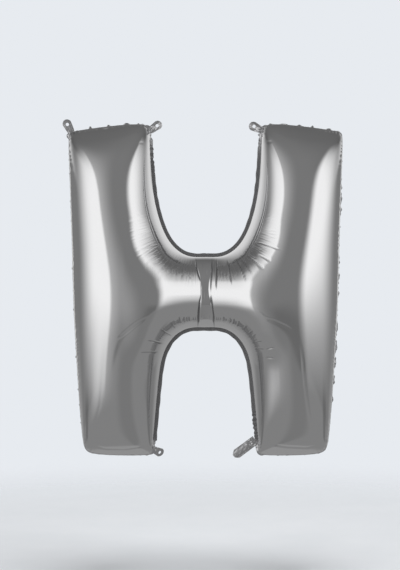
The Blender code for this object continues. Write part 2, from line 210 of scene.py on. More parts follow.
# Height in millimetres, then where the panel ends to the left and to the right: its pleats draw together
PANEL_EDGES = np.array((
    (95, -29, 25), (71, -25.5, 22), (45, -19, 14), (20, -13, 8.5), (0, -11, 7.0), (-14, -11.5, 8.0),
    (-35, -15, 12.5), (-60, -18, 16), (-100, -20, 19),
)) * MM


def free_height(points):
    """K times root of twice the stress, K a little less where the strokes meet."""
    from_middle = (points[:, 1] - BAR_MIDDLE_Z) / JUNCTION_REACH
    fullness = FULLNESS * (1.0 - JUNCTION_EASE * np.exp(-(from_middle**2)))
    return fullness * np.sqrt(2.0 * stress_function(points))


def bar_line(x, z):
    """Height along the bar's middle: panel height + slope * (distance from the panel), easing to level."""
    low_first = PANEL_EDGES[::-1]
    left = np.interp(z, low_first[:, 0], low_first[:, 1])
    right = np.interp(z, low_first[:, 0], low_first[:, 2])
    reach = np.maximum(np.maximum(x - right, left - x), 0.0)
    knee = RISE_END - RISE_START
    easing = np.clip(reach - knee, 0.0, CREST_AT - RISE_END)
    straight = np.minimum(reach, knee) + easing - easing**2 / (2.0 * (CREST_AT - RISE_END))
    return PANEL_HEIGHT + BAR_RISE * straight


def bar_factor(points):
    """Share by which the round height is lowered over the bar, 1 beyond the legs' crests."""
    middle = np.stack((points[:, 0], np.full(len(points), BAR_MIDDLE_Z)), axis=1)
    wanted = bar_line(points[:, 0], points[:, 1]) / np.maximum(free_height(middle), 1e-5)
    over_bar = within(points[:, 0], CREST_AT, 0.150) * within(points[:, 1] - BAR_MIDDLE_Z, 0.185, 0.09)
    return 1.0 + (wanted - 1.0) * over_bar


def sag_factor(points):
    """1 - sag * (height above the bar's middle / 95 mm): the bar is fuller below its middle than above."""
    from_middle = points[:, 1] - BAR_MIDDLE_Z
    near_bar = within(points[:, 0], 0.210, SAG_HALF) * within(from_middle, 0.200, SAG_HALF)
    return 1.0 - SAG * np.clip(from_middle / SAG_HALF, -1.6, 1.6) * near_bar


def bar_swell(points):
    """Swell * e^(-(height above z = -47 mm / 30 mm)^2): the bar is fullest a little below its middle."""
    above = (points[:, 1] - SWELL_Z) / SWELL_HALF
    return SWELL * np.exp(-(above**2)) * within(points[:, 0], 0.165, 0.08)


def sheet_height(points):
    """(round height^-n + slope height^-n)^(-1/n): a smooth minimum of the round form and the end slopes."""
    across = np.abs(points[:, 0])
    up = points[:, 1]
    round_height = free_height(points) * bar_factor(points) * sag_factor(points)
    round_height += bar_swell(points) * smooth(round_height / 0.06)
    below_head = np.interp(across, head_edge[:, 0], head_edge[:, 1]) - up
    above_foot = up - np.interp(across, foot_edge[:, 0], foot_edge[:, 1])
    tiny = 1e-5
    total = np.maximum(round_height, tiny) ** -RIDGE_SHARPNESS
    total += np.maximum(HEAD_SLOPE * below_head, tiny) ** -RIDGE_SHARPNESS
    total += np.maximum(FOOT_SLOPE * above_foot, tiny) ** -RIDGE_SHARPNESS
    return np.where(round_height > tiny, total ** (-1.0 / RIDGE_SHARPNESS), 0.0)


# %% [markdown]
# ## A grid over the letter
#
# A pleat shows only where the mesh has rows to bend, and the sheet turns hardest beside the seam. A filled
# outline would get triangles of every size, whose edges show in a mirror. So the letter is covered by two
# patches a side, one over the leg and one over the bar, each stretched between its four edges (a Coons
# patch). Rows and columns crowd towards the seam and run across from leg to bar without a step.

# %% Rows and columns
LEG_COLUMNS = 104
BAR_COLUMNS = 94
ARM_ROWS = 124
BAR_ROWS = 108
WELD = 1e-6


def along(line, share):
    """Points at a share, 0 to 1, of a line's whole length."""
    length = running_length(line)
    at = np.asarray(share) * length[-1]
    return np.stack([np.interp(at, length, line[:, k]) for k in (0, 1)], axis=-1)


def crowded(count, strength):
    """Shares c - strength * sin(2 pi c) / (2 pi): even steps that shrink towards both ends."""
    even = np.linspace(0.0, 1.0, count + 1)
    return even - strength * np.sin(2.0 * np.pi * even) / (2.0 * np.pi)


def coons(left, right, bottom, top, across, up):
    """Blend of opposite edges both ways, less the doubly counted blend of the four corners."""
    a = across[..., None]
    v = up[:, None, None]
    sides = (1 - a) * left[:, None] + a * right[:, None]
    ends = (1 - v) * along(bottom, across) + v * along(top, across)
    low = (1 - a) * bottom[0] + a * bottom[-1]
    high = (1 - a) * top[0] + a * top[-1]
    return sides + ends - (1 - v) * low - v * high


def grid_faces(rows, columns, first=0):
    """Corner numbers of the faces of a grid, row by row, turned to face the front."""
    corner = first + np.arange(rows * columns).reshape(rows, columns)
    loop = (corner[:-1, :-1], corner[:-1, 1:], corner[1:, 1:], corner[1:, :-1])
    return np.stack(loop, axis=-1).reshape(-1, 4)


def ring_faces(rows, around, joined):
    """Faces of a grid whose rows are closed rings; where joined, its last ring also meets its first."""
    corner = np.arange(rows * around).reshape(rows, around)
    if joined:
        corner = np.vstack((corner, corner[:1]))
    after = np.roll(corner, -1, axis=1)
    return np.stack((corner[:-1], after[:-1], after[1:], corner[1:]), axis=-1).reshape(-1, 4)


arm_share = crowded(ARM_ROWS, 0.45)
arm_share = arm_share + 0.30 * arm_share * (1.0 - arm_share)
leg_low = along(half_rim_part(LOW_FILLET, FOOT_INNER)[::-1], arm_share)
low_corner = half_rim[LOW_FILLET * SPAN_STEPS]
high_corner = half_rim[HIGH_FILLET * SPAN_STEPS]
bar_up = crowded(BAR_ROWS, 0.70)
mouth = low_corner + bar_up[:, None] * (high_corner - low_corner)
leg_high = along(half_rim_part(HEAD_INNER, HIGH_FILLET)[::-1], 1.0 - arm_share[::-1])
leg_inner = np.vstack((leg_low[:-1], mouth, leg_high[1:]))
outer_line = half_rim_part(FOOT_OUTER, HEAD_OUTER)
leg_up = (leg_inner[:, 1] - leg_inner[0, 1]) / (leg_inner[-1, 1] - leg_inner[0, 1])
outer_z = outer_line[0, 1] + leg_up * (outer_line[-1, 1] - outer_line[0, 1])
leg_outer = np.stack((np.interp(outer_z, outer_line[:, 1], outer_line[:, 0]), outer_z), axis=1)

even = np.linspace(0.0, 1.0, LEG_COLUMNS + 1)
at_seam = crowded(LEG_COLUMNS, 0.70)
at_mouth = 0.35 * even + 0.65 * np.sin(0.5 * np.pi * even)
opening = np.zeros(len(leg_inner))
opening[ARM_ROWS: ARM_ROWS + BAR_ROWS + 1] = smooth(np.minimum(bar_up, 1.0 - bar_up) / 0.22)
leg_across = (1.0 - opening[:, None]) * at_seam + opening[:, None] * at_mouth
leg_plan = coons(leg_inner, leg_outer, foot_edge, head_edge, leg_across, leg_up)
bar_bottom = half_rim_part(0, LOW_FILLET)
bar_top = half_rim_part(HIGH_FILLET, HIGH_FILLET + len(BAR_ABOVE))[::-1]
middle_z = bar_bottom[0, 1] + bar_up * (bar_top[0, 1] - bar_bottom[0, 1])
middle = np.stack((np.zeros(len(bar_up)), middle_z), axis=1)
bar_share = np.interp(np.linspace(0.0, 1.0, BAR_COLUMNS + 1), (0.0, 0.06, 0.60, 1.0), (0.0, 0.05, 0.40, 1.0))
bar_across = np.broadcast_to(bar_share, (BAR_ROWS + 1, BAR_COLUMNS + 1))
bar_plan = coons(middle, mouth, bar_bottom, bar_top, bar_across, bar_up)
print("leg patch %d x %d, bar patch %d x %d" % (*leg_plan.shape[:2], *bar_plan.shape[:2]))

# %% Weld the four patches into one flat letter
plan_points = []
plan_faces = []
for patch in (leg_plan, bar_plan):
    faces = grid_faces(*patch.shape[:2])
    for side in (1.0, -1.0):
        count = sum(len(points) for points in plan_points)
        plan_points.append(patch.reshape(-1, 2) * (side, 1.0))
        plan_faces.append((faces if side > 0 else faces[:, ::-1]) + count)
plan_points = np.concatenate(plan_points)
flat = bpy.data.meshes.new("letter_plan")
flat.from_pydata(np.insert(plan_points, 1, 0.0, axis=1).tolist(), [], np.concatenate(plan_faces).tolist())
welded = bmesh.new()
welded.from_mesh(flat)
bmesh.ops.remove_doubles(welded, verts=welded.verts, dist=WELD)
welded.to_mesh(flat)
on_rim = np.array([vert.is_boundary for vert in welded.verts])
welded.free()
plan = np.zeros(len(flat.vertices) * 3, np.float32)
flat.vertices.foreach_get("co", plan)
plan = plan.reshape(-1, 3)[:, [0, 2]].astype(float)
quads = np.zeros(len(flat.loops), np.int32)
flat.loops.foreach_get("vertex_index", quads)
quads = quads.reshape(-1, 4)
bpy.data.meshes.remove(flat)
print("letter plan: %d points, %d faces" % (len(plan), len(quads)))

# %% [markdown]
# ## Where each point stands to the seam
#
# Wrinkles in blown-up film start at the seam and run straight away from it. They could be drawn one by one,
# but there are hundreds. They are easy to write once every point knows two numbers: the station, which is
# how far along the seam its nearest seam point lies, and its distance from there. Round an inner corner
# these rays fan out by themselves, as the real creases do.

# %% Station and distance of every point of the plan
RIM_SAMPLE = 0.0015


def seam_station(points):
    """Nearest rim point: its running length from the middle of the bar's lower edge, and the distance."""
    folded = np.abs(points[:, 0])
    here = np.stack((folded, points[:, 1]), axis=1)
    count = int(half_length[-1] / RIM_SAMPLE)
    line = along(half_rim, np.linspace(0.0, 1.0, count))
    at = np.linspace(0.0, half_length[-1], count)
    run = np.gradient(line, axis=0)
    run /= np.linalg.norm(run, axis=1)[:, None]
    nearest = []
    for block in np.array_split(here, max(1, len(here) // 4000)):
        apart = (block**2).sum(axis=1)[:, None] - 2.0 * block @ line.T + (line**2).sum(axis=1)[None]
        nearest.append(apart.argmin(axis=1))
    nearest = np.concatenate(nearest)
    offset = here - line[nearest]
    ahead = np.clip((offset * run[nearest]).sum(axis=1), -RIM_SAMPLE, RIM_SAMPLE)
    away = np.linalg.norm(offset - ahead[:, None] * run[nearest], axis=1)
    side = np.where(points[:, 0] < 0.0, -1.0, 1.0)
    return side * (at[nearest] + ahead), away


station, away = seam_station(plan)
print("farthest point from the seam: %.0f mm" % (away.max() / MM))


def station_of(x, z):
    """Station of the rim point nearest to a place given in millimetres."""
    return seam_station(np.array([(x * MM, z * MM)]))[0][0]


# %% [markdown]
# ## Pleats and gathers
#
# Film cannot stretch, so the length it has too much of goes into pleats: long ones down the bar, a fan of
# short ones off each inner corner, long soft creases down the legs, and small tucks along the outer seams.
# Each pleat is a shallow valley, deepest in its middle and running out at both ends. A bump in the material
# would be quicker, but it leaves the outline and the mesh flat. These are real bends, because a mirror-like
# sheet shows a bend of a few tenths of a millimetre plainly.

# %% Valleys along drawn lines
def valley(line, width, taper=0.35):
    """e^(-(distance / width)^2), faded over the first and last part of the line's length."""
    line = np.array(line) * MM
    width = width * MM
    low = line.min(axis=0) - 4.0 * width
    high = line.max(axis=0) + 4.0 * width
    near = np.flatnonzero(((plan > low) & (plan < high)).all(axis=1))
    here = plan[near]
    length = running_length(line)
    best = np.full(len(here), 1e9)
    reach = np.zeros(len(here))
    for start, end, done in zip(line[:-1], line[1:], length[:-1]):
        run = end - start
        share = np.clip((here - start) @ run / (run @ run), 0.0, 1.0)
        apart = np.linalg.norm(here - start - share[:, None] * run, axis=1)
        closer = apart < best
        best = np.where(closer, apart, best)
        reach = np.where(closer, done + share * np.linalg.norm(run), reach)
    reach /= length[-1]
    fade = smooth(reach / taper) * smooth((1.0 - reach) / taper)
    depth = np.zeros(len(plan))
    depth[near] = np.exp(-((best / width) ** 2)) * fade
    return depth


# Depth and width in millimetres, then the line as x, z in millimetres
FRONT_PLEATS = (
    (1.5, 1.5, ((-26, 80), (-24.5, 62), (-19, 42), (-13, 18))),
    (0.7, 1.2, ((-14, 24), (-11.5, 4), (-12, -18), (-15, -34))),
    (2.8, 1.9, ((-11.5, -14), (-15, -34), (-17.5, -56), (-18.5, -78), (-21, -103))),
    (1.2, 1.3, ((16.5, 82), (15.5, 55), (14, 30), (12.8, 4), (12.6, -14))),
    (2.8, 1.9, ((12.2, -8), (14.5, -34), (17.5, -58), (20, -78), (23, -104))),
    (1.4, 1.5, ((28, 80), (28.2, 62), (27, 44), (26.6, 22), (26.2, -6))),
    (0.25, 1.3, ((-8, 72), (-6.5, 44))),
    (0.3, 1.3, ((1, 66), (2, 34))),
    (0.2, 1.2, ((-4, -2), (-4.5, -30))),
    (0.2, 1.2, ((3, -6), (2, -28))),
    (1.2, 1.5, ((55, 78), (59.4, 50), (61.2, 34.4), (65.6, 8))),
    (1.3, 1.6, ((76, 78), (89.2, 50), (95.7, 34.4), (102, 17))),
    (1.0, 1.6, ((86.4, 80.8), (103.5, 56.4), (118, 36))),
    (1.2, 1.7, ((103, 87), (125.5, 68.1), (148, 47))),
    (1.1, 1.7, ((130, 89), (146.3, 79.8), (165, 69))),
    (0.65, 1.6, ((119, 121), (138.5, 117.4), (161.9, 108.3), (195, 95.8))),
    (0.35, 1.3, ((159.3, 151.1), (180, 145.9))),
    (0.35, 1.3, ((159.3, 143.3), (180, 138.1))),
    (0.35, 1.3, ((159.3, 135.5), (177.4, 127.8))),
    (0.5, 1.4, ((-133.3, 61.6), (-111.5, 82.1))),
    (0.5, 1.4, ((-111.5, 46), (-91, 79.5))),
    (0.5, 1.4, ((-92.3, 38.5), (-78.1, 71.7))),
    (0.45, 1.4, ((-75.5, 33.3), (-65.4, 69.1))),
    (0.45, 1.4, ((-60.2, 23), (-55, 64.2))),
    (0.8, 1.5, ((-66.7, -68.6), (-62.8, -86.5))),
    (0.75, 1.4, ((-54.7, -68.6), (-52.7, -85))),
    (0.7, 1.3, ((-47.7, -68.6), (-45.7, -82.4))),
    (0.75, 1.4, ((-42.3, -68.6), (-39.7, -81.3))),
    (0.9, 1.7, ((-88.5, -83.9), (-76.8, -99.5))),
    (1.1, 2.0, ((-114.1, -100.8), (-85.9, -120))),
    (1.3, 2.1, ((-147.3, -127.5), (-107.7, -137.9))),
    (1.0, 2.0, ((-166.5, -158.4), (-119.1, -159.7))),
    (0.7, 1.4, ((44.9, -68.6), (44.9, -81.3))),
    (0.6, 1.4, ((60.7, -70.7), (59.7, -85))),
    (0.7, 1.5, ((71.1, -74.6), (69, -87.5))),
    (0.7, 1.6, ((83.3, -81.3), (79.6, -93))),
    (0.7, 1.6, ((101.4, -90.4), (96.2, -103.1))),
    (0.7, 1.6, ((118, -104.4), (106.4, -112.2))),
    (0.7, 1.6, ((125.8, -112.2), (116.7, -120))),
    (0.9, 1.7, ((142.4, -130.1), (119.3, -135.3))),
    (0.9, 1.7, ((147.6, -150.6), (124.5, -150.6))),
    (0.8, 1.7, ((172, -145.7), (151.2, -150.6))),
    (0.8, 1.7, ((172, -172.4), (150.2, -171.1))),
    (0.5, 2.4, ((-225, -127), (-210, -117), (-190, -100.5), (-169.5, -84), (-142, -66.5))),
    (0.5, 2.4, ((140.5, -71.5), (170.5, -79), (201, -93), (231, -112))),
    (0.6, 2.4, (
        (231, -109.5), (239, -142), (245, -185.5), (249, -228.5), (254.5, -269.5), (266.5, -335),
        (281.5, -375.5),
    )),
    (0.4, 2.4, ((-256, -140), (-259, -173), (-262, -229), (-268, -293.5), (-282.5, -343.5), (-305, -385))),
    (0.5, 2.6, ((-313.5, -378), (-293, -401), (-259.5, -411), (-208, -412), (-164, -405), (-145.5, -387.5))),
    (0.5, 2.6, ((313.5, -378), (293, -401), (259.5, -408), (208, -405), (178, -400), (160, -398))),
    (0.3, 2.2, ((-172.8, 375.5), (-157.2, 376))),
    (0.35, 2.2, ((146.3, 377.8), (174.8, 378.3))),
)

# %% Gathers: rays off the seam, given by station and distance
GATHER_TABLE = np.random.default_rng(34).uniform(-1.0, 1.0, (4096, 3))


def gathers(middle, reach, spacing, width, start, end, depth):
    """Rows of valleys at a spacing along the seam; each has its own depth, start and end from a table."""
    inside = smooth((reach - np.abs(station - middle)) / (0.25 * reach) + 0.5)
    number = np.round(station / spacing).astype(int)
    table = GATHER_TABLE[number % len(GATHER_TABLE)]
    centre = (number + 0.28 * table[:, 0]) * spacing
    ray = np.exp(-(((station - centre) / width) ** 2))
    first = start * (1.0 + 0.25 * table[:, 1])
    last = end * (1.0 + 0.16 * table[:, 2])
    window = past(away, first, 0.3 * (last - first)) * within(away, last, 0.45 * (last - first))
    return depth * inside * ray * window * (0.65 + 0.35 * table[:, 1])


high_left = station_of(-95, 118)
high_right = station_of(95, 118)
low_left = station_of(-92, -128)
low_right = station_of(92, -128)
# Middle and reach along the seam, spacing, width, start and end away from the seam, depth, all in metres
FRONT_GATHERS = (
    (high_left, 0.090, 0.0044, 0.0010, 0.028, 0.078, 0.00028),
    (high_left, 0.080, 0.0071, 0.0013, 0.034, 0.088, 0.00026),
    (high_right, 0.085, 0.0046, 0.0010, 0.026, 0.072, 0.00026),
    (high_right, 0.050, 0.0083, 0.0012, 0.030, 0.082, 0.00030),
    (high_right, 0.030, 0.0036, 0.0010, 0.008, 0.024, 0.00018),
    (high_left, 0.120, 0.0052, 0.0012, 0.010, 0.036, 0.00016),
    (low_left, 0.085, 0.0048, 0.0011, 0.014, 0.040, 0.00026),
    (low_right, 0.085, 0.0048, 0.0011, 0.014, 0.040, 0.00026),
    (low_left, 0.150, 0.0070, 0.0018, 0.003, 0.022, 0.00008),
    (low_right, 0.150, 0.0070, 0.0018, 0.003, 0.022, 0.00008),
)


def outer_tucks(spacing, length, depth, seed):
    """Squared cosine of a wandering phase along the outer seam, times e^(-distance / length)."""
    draw = np.random.default_rng(seed)
    phase = station / spacing
    strength = np.ones(len(station))
    for wave, turn in zip((0.061, 0.143, 0.31), draw.uniform(0.0, 6.28, 3)):
        phase = phase + 0.42 * np.sin(2.0 * np.pi * station / wave + turn)
        strength = strength + 0.35 * np.sin(2.0 * np.pi * station / (1.7 * wave) + 2.0 * turn)
    place = np.maximum(past(plan[:, 0], 0.245, 0.02), past(plan[:, 1], 0.385, 0.02))
    row = (0.5 + 0.5 * np.cos(2.0 * np.pi * phase)) ** 2
    fade = np.exp(-away / length) * smooth(away / 0.0016)
    return depth * row * strength * fade * place


def wrinkles(pleats, gather_rows, tucks):
    """Sum of every pleat's depth * valley, the gathers and the outer tucks, in metres."""
    drawn = sum(depth * MM * valley(line, width) for depth, width, line in pleats)
    return drawn + sum(gathers(*row) for row in gather_rows) + outer_tucks(*tucks)


front_detail = wrinkles(FRONT_PLEATS, FRONT_GATHERS, (0.0125, 0.0036, 0.0014, 5))
print("deepest pleat on the front: %.2f mm" % (front_detail.max() / MM))

# %% [markdown]
# ## The two sheets
#
# Each sheet is the plan lifted by the blown-up height, then pushed in along its own normal by the pleats. A
# mirrored copy would do for the back, but the real back is never a mirror image of the front, so it is made
# the same way, facing the other way, with pleats of its own. The sheets are single surfaces, as thin film
# is, and their edges end in the seam.

# %% Build a sheet from the plan
SEAM_HALF = 0.0004
height = np.where(on_rim, 0.0, sheet_height(plan))
print("half depth: legs %.0f mm, junctions %.0f mm, bar %.0f mm" % tuple(
    height[np.hypot(plan[:, 0] - x, plan[:, 1] - z) < 0.01].max() / MM
    for x, z in ((0.243, 0.28), (0.21, -0.01), (0.0, -0.01))
))


def surface_normals(points, faces):
    """Area-weighted mean of the cross products of each face's diagonals."""
    crosses = np.cross(points[faces[:, 2]] - points[faces[:, 0]], points[faces[:, 3]] - points[faces[:, 1]])
    total = np.zeros_like(points)
    for axis in range(3):
        spread = np.repeat(crosses[:, axis], 4)
        total[:, axis] = np.bincount(faces.ravel(), weights=spread, minlength=len(points))
    return total / np.maximum(np.linalg.norm(total, axis=1), 1e-12)[:, None]


def new_piece(name, points, faces, turned_outwards=False):
    """A smooth-shaded mesh object at the origin, from points and faces of any number of corners."""
    mesh = bpy.data.meshes.new(name)
    mesh.from_pydata(points.tolist(), [], faces if isinstance(faces, list) else faces.tolist())
    if turned_outwards:
        work = bmesh.new()
        work.from_mesh(mesh)
        bmesh.ops.recalc_face_normals(work, faces=work.faces)
        work.to_mesh(mesh)
        work.free()
    mesh.shade_smooth()
    piece = bpy.data.objects.new(name, mesh)
    bpy.context.scene.collection.objects.link(piece)
    return piece


def give_number(piece, name, values):
    """Keep one number a point for the material to read."""
    piece.data.attributes.new(name, "FLOAT", "POINT").data.foreach_set("value", values.astype(np.float32))


def build_sheet(name, side, detail, crinkle_and_painted_shade):
    """Plan point plus side times (seam half + height) along Y, less the pleat depth along the normal."""
    faces = quads if side < 0 else quads[:, ::-1]
    points = np.stack((plan[:, 0], side * (SEAM_HALF + height), plan[:, 1]), axis=1)
    inward = surface_normals(points, faces) * np.where(on_rim, 0.0, detail)[:, None]
    sheet = new_piece(name, points - inward, faces)
    for kept, values in (("crinkle_and_painted_shade", crinkle_and_painted_shade), ("hairs", hairs), ("station", station), ("away", away)):
        give_number(sheet, kept, values)
    return sheet


# %% Film too finely creased for a mesh, and painted shade in the deep pleats: a share for each point, which the material reads
# Beside the outer seam it is crinkled, and the shade of the crinkles is painted in: outside * e^(-distance /
# 4 mm)
crinkles_and_their_shade = past(plan[:, 0], 0.315, 0.015) * within(plan[:, 1], 0.415, 0.02) * np.exp(-away / 0.004)
# Hair-fine creases run off the inner corners, above and below the bar, but not over the panel
CORNER_REACH = 0.045
above_bar = past(away, 0.020, 0.014) * within(away, 0.074, 0.03)
below_bar = past(away, 0.010, 0.008) * within(away, 0.036, 0.014)
hairs = 0.75 * above_bar * past(station, high_right - CORNER_REACH, 0.05)
hairs += 0.8 * below_bar * within(station, low_right + CORNER_REACH, 0.05)
hairs *= past(plan[:, 0], 0.020, 0.02)
# The deep pleats are grooves that let little light out again: their shade is painted into the film's colour
# as a darker grey
GROOVE_DEPTH = 1.5
painted_groove_shade = sum(
    min(depth / GROOVE_DEPTH, 1.0) * valley(line, 1.2, 0.2) for depth, _, line in FRONT_PLEATS if depth > 0.6
)
crinkles_and_groove_shade = np.maximum(crinkles_and_their_shade, 0.9 * np.clip(painted_groove_shade, 0.0, 1.0))

# %% The front sheet
film_front = build_sheet("film_front", -1.0, front_detail, crinkles_and_groove_shade)
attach(film_front, "envelope")
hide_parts("front_foil")
print(film_front.name, len(film_front.data.polygons), "faces")

# %% The back sheet and its own pleats
BACK_PLEATS = (
    (0.5, 3.0, ((-31, 80), (-24, 30), (-20, -20), (-27, -96))),
    (0.5, 3.0, ((20, 80), (13, 26), (15, -30), (27, -98))),
    (0.35, 2.8, ((-52, 74), (-56, 40), (-60, 8))),
    (0.35, 2.8, ((43, 76), (44, 44), (41, 12))),
    (0.45, 2.8, ((70, 74), (82, 48), (92, 20))),
    (0.55, 3.2, ((-98, 88), (-124, 64), (-146, 48))),
    (0.55, 3.2, ((108, 92), (136, 80), (170, 60))),
    (0.5, 3.0, ((-112, 116), (-150, 108), (-182, 92))),
    (0.5, 3.0, ((104, -112), (132, -136), (162, -146))),
    (0.5, 3.0, ((-106, -118), (-134, -138), (-168, -148))),
    (0.35, 2.6, ((-62, -66), (-60, -88))),
    (0.35, 2.6, ((50, -66), (52, -86))),
    (0.3, 2.4, ((-76, -72), (-72, -92))),
    (0.3, 2.4, ((80, -78), (76, -96))),
)
BACK_GATHERS = (
    (high_left, 0.080, 0.0056, 0.0017, 0.028, 0.055, 0.00038),
    (high_right, 0.080, 0.0054, 0.0017, 0.028, 0.055, 0.00038),
    (low_left, 0.085, 0.0058, 0.0018, 0.022, 0.044, 0.00028),
    (low_right, 0.085, 0.0060, 0.0018, 0.022, 0.044, 0.00028),
)
back_detail = wrinkles(BACK_PLEATS, BACK_GATHERS, (0.0131, 0.0040, 0.0015, 9))
film_back = build_sheet("film_back", 1.0, back_detail, crinkles_and_their_shade)
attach(film_back, "envelope")
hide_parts("back_foil")

# %% [markdown]
# ## The sealed edge
#
# All round the letter the two sheets are welded in a band about 7.5 mm wide. In the notches it stands out
# flat and taut, crumpled only near the tabs. Round the outside the swelling film draws it in, so there it
# is gathered and mostly folded back behind the bulge, with small scallops of it looking out past the edge.
# A flat strip could not fold like that. So a profile is carried along the rim, and the angle it folds back
# by changes on the way.

# %% Fold, width and ruffle of the sealed edge
SEAL_LAP = 0.0030
SEAL_WIDTH = 0.0075
SEAL_STEP = 0.0014
SEAL_PROFILE = np.array((-1.0, -0.45, 0.0, 0.12, 0.25, 0.42, 0.6, 0.8, 1.0))
# Where the seal looks out past the bulge: x, z and spread in millimetres, and the share it stands up by
PEEKS = (
    (-353, 415, 9, 0.95), (-352, 398, 7, 0.9), (-356, 341, 3, 0.35), (-357, 305, 4, 0.4),
    (-356, 262, 3, 0.3), (-352, 214, 3, 0.3), (-300, 416, 7, 0.5), (-250, 422, 8, 0.5),
    (-204, 427, 8, 0.55), (-168, 429, 7, 0.5),
    (-146, 418, 12, 1.0), (146, 418, 12, 1.0), (143, 398, 14, 0.85), (170, 430, 6, 0.5), (203, 429, 7, 0.6),
    (245, 425, 8, 0.6), (277, 420, 6, 0.5), (322, 412, 8, 0.6), (343, 410, 5, 0.4), (352, 262, 12, 0.35),
    (350, 236, 14, 0.45), (349, 205, 12, 0.4), (344, 75, 14, 0.35), (344, 30, 14, 0.4), (343, -10, 12, 0.35),
    (340, -100, 16, 0.5), (337, -150, 14, 0.6), (334, -190, 14, 0.6), (331, -235, 12, 0.45),
    (327, -285, 12, 0.35), (-134, -412, 16, 1.0), (134, -392, 20, 1.0), (137, -415, 16, 0.9),
    (-340, -60, 4, 0.3), (-338, -170, 5, 0.3), (-330, -260, 4, 0.3),
)
# Parts of the notches where the seal is crumpled and ragged
RAGGED = ((-140, 345, 32, 1.0), (144, 400, 24, 1.0), (129, -350, 36, 1.0), (-136, -400, 14, 1.0))


def ripple(along_it, across_it, waves, seed, wavelength):
    """Sum of cosines in random directions about one wavelength, with a spread of one half."""
    draw = np.random.default_rng(seed)
    total = 0.0
    for turn, phase, stretch in zip(
        draw.uniform(0.0, np.pi, waves), draw.uniform(0.0, 2.0 * np.pi, waves), draw.uniform(0.7, 1.4, waves)
    ):
        pitch = 2.0 * np.pi / (wavelength * stretch)
        total = total + np.cos(pitch * (along_it * np.cos(turn) + across_it * np.sin(turn)) + phase)
    return total / np.sqrt(waves)


rim_at, rim_out = even_points(rim, SEAL_STEP)
rim_station, _ = seam_station(rim_at)


def rim_ripple(waves, seed, wavelength):
    """The ripple along the rim alone."""
    return ripple(rim_station, 0.0, waves, seed, wavelength)


def spots(rows):
    """Largest of share * e^(-(distance / spread)^2) over the rows' places."""
    most = np.zeros(len(rim_at))
    for x, z, spread, share in rows:
        far = ((rim_at - np.array((x, z)) * MM) ** 2).sum(axis=1)
        most = np.maximum(most, share * np.exp(-far / (spread * MM) ** 2))
    return most


in_notch = within(rim_at[:, 0], 0.152, 0.012) * within(rim_at[:, 1], 0.404, 0.02)
upright = np.clip(np.maximum(in_notch, spots(PEEKS)), 0.0, 1.0)
fold = np.radians(84.0 + 4.0 * rim_ripple(5, 21, 0.055)) * (1.0 - upright)
loose = 1.0 - smooth((in_notch - 0.2) / 0.6)
ragged = spots(RAGGED)
width = SEAL_WIDTH * (1.0 + 0.16 * loose * rim_ripple(6, 3, 0.016) - 0.10 * loose)
width += 0.0004 * rim_ripple(4, 8, 0.030) * (1.0 - loose)
width *= 1.0 + 0.22 * ragged * rim_ripple(5, 29, 0.009)
flutter = loose * (0.0013 * rim_ripple(7, 12, 0.011) + 0.0004)
flutter += 0.0013 * ragged * rim_ripple(6, 27, 0.0070)

# %% Carry the profile along the rim
SEAL_FILM = 0.00035
BEND_REACH = 0.0022


def build_sealed_edge():
    """Rim point + outward * v cos(fold) + Y * v sin(fold), v from the lap to the width, two faces apart."""
    rows = []
    for half in (-SEAL_FILM, SEAL_FILM):
        for share in SEAL_PROFILE if half < 0.0 else SEAL_PROFILE[::-1]:
            reach = share * (SEAL_LAP if share <= 0.0 else width)
            bend = fold * smooth(reach / BEND_REACH)
            wave = flutter * smooth(share)
            outward = reach * np.cos(bend) - (wave + half) * np.sin(bend)
            back = reach * np.sin(bend) + (wave + half) * np.cos(bend)
            edge = rim_at + rim_out * outward[:, None]
            rows.append(np.stack((edge[:, 0], back, edge[:, 1]), axis=1))
    points = np.stack(rows, axis=1)
    return points.reshape(-1, 3), ring_faces(*points.shape[:2], joined=True)[:, ::-1]


sealed_edge = new_piece("sealed_edge", *build_sealed_edge())
# In the notches the seal's grey is darkened and roughened by this share
give_number(sealed_edge, "crinkle_and_painted_shade", 0.75 * np.repeat(in_notch, 2 * len(SEAL_PROFILE)))
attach(sealed_edge, "envelope")
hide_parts("seam_band")
print("sealed edge:", len(sealed_edge.data.polygons), "faces")

# %% [markdown]
# ## Hang tabs
#
# Each tab is a tongue of the same sealed film with a punched hole, for thread or a pin. A flat plate would
# look stamped from tin, so the tongue is a ring of film between the hole and the outline: rays leave the
# middle of the hole, and every ray carries the same number of points out to the edge. The film is crumpled
# at its root, where it was pulled together, and each tab gets a curl and a tilt of its own. Where it is
# folded, it bends over a short stretch at its root.

# %% One tab as a ring between its hole and its outline
TAB_LENGTH = 0.032
TAB_ROOT_HALF = 0.0095
TAB_HALF = 0.0118
HOLE_RADIUS = 0.0042
HOLE_AT = 0.0185
TAB_OVERLAP = 0.007
TAB_FILM = 0.00018
TAB_RAYS = 132
TAB_RINGS = 22


def tab_outline():
    """Root rectangle, sides that widen, and a round end, as one closed line of many points."""
    turn = np.radians(np.linspace(-90.0, 90.0, 60))
    end = np.stack((TAB_LENGTH - TAB_HALF + TAB_HALF * np.cos(turn), TAB_HALF * np.sin(turn)), axis=1)
    root = [(0.0, TAB_ROOT_HALF), (-TAB_OVERLAP, TAB_ROOT_HALF * 0.8)]
    other = [(-TAB_OVERLAP, -TAB_ROOT_HALF * 0.8), (0.0, -TAB_ROOT_HALF)]
    line = np.vstack((end, root, other, end[:1]))
    return along(line, np.linspace(0.0, 1.0, 600, endpoint=False))


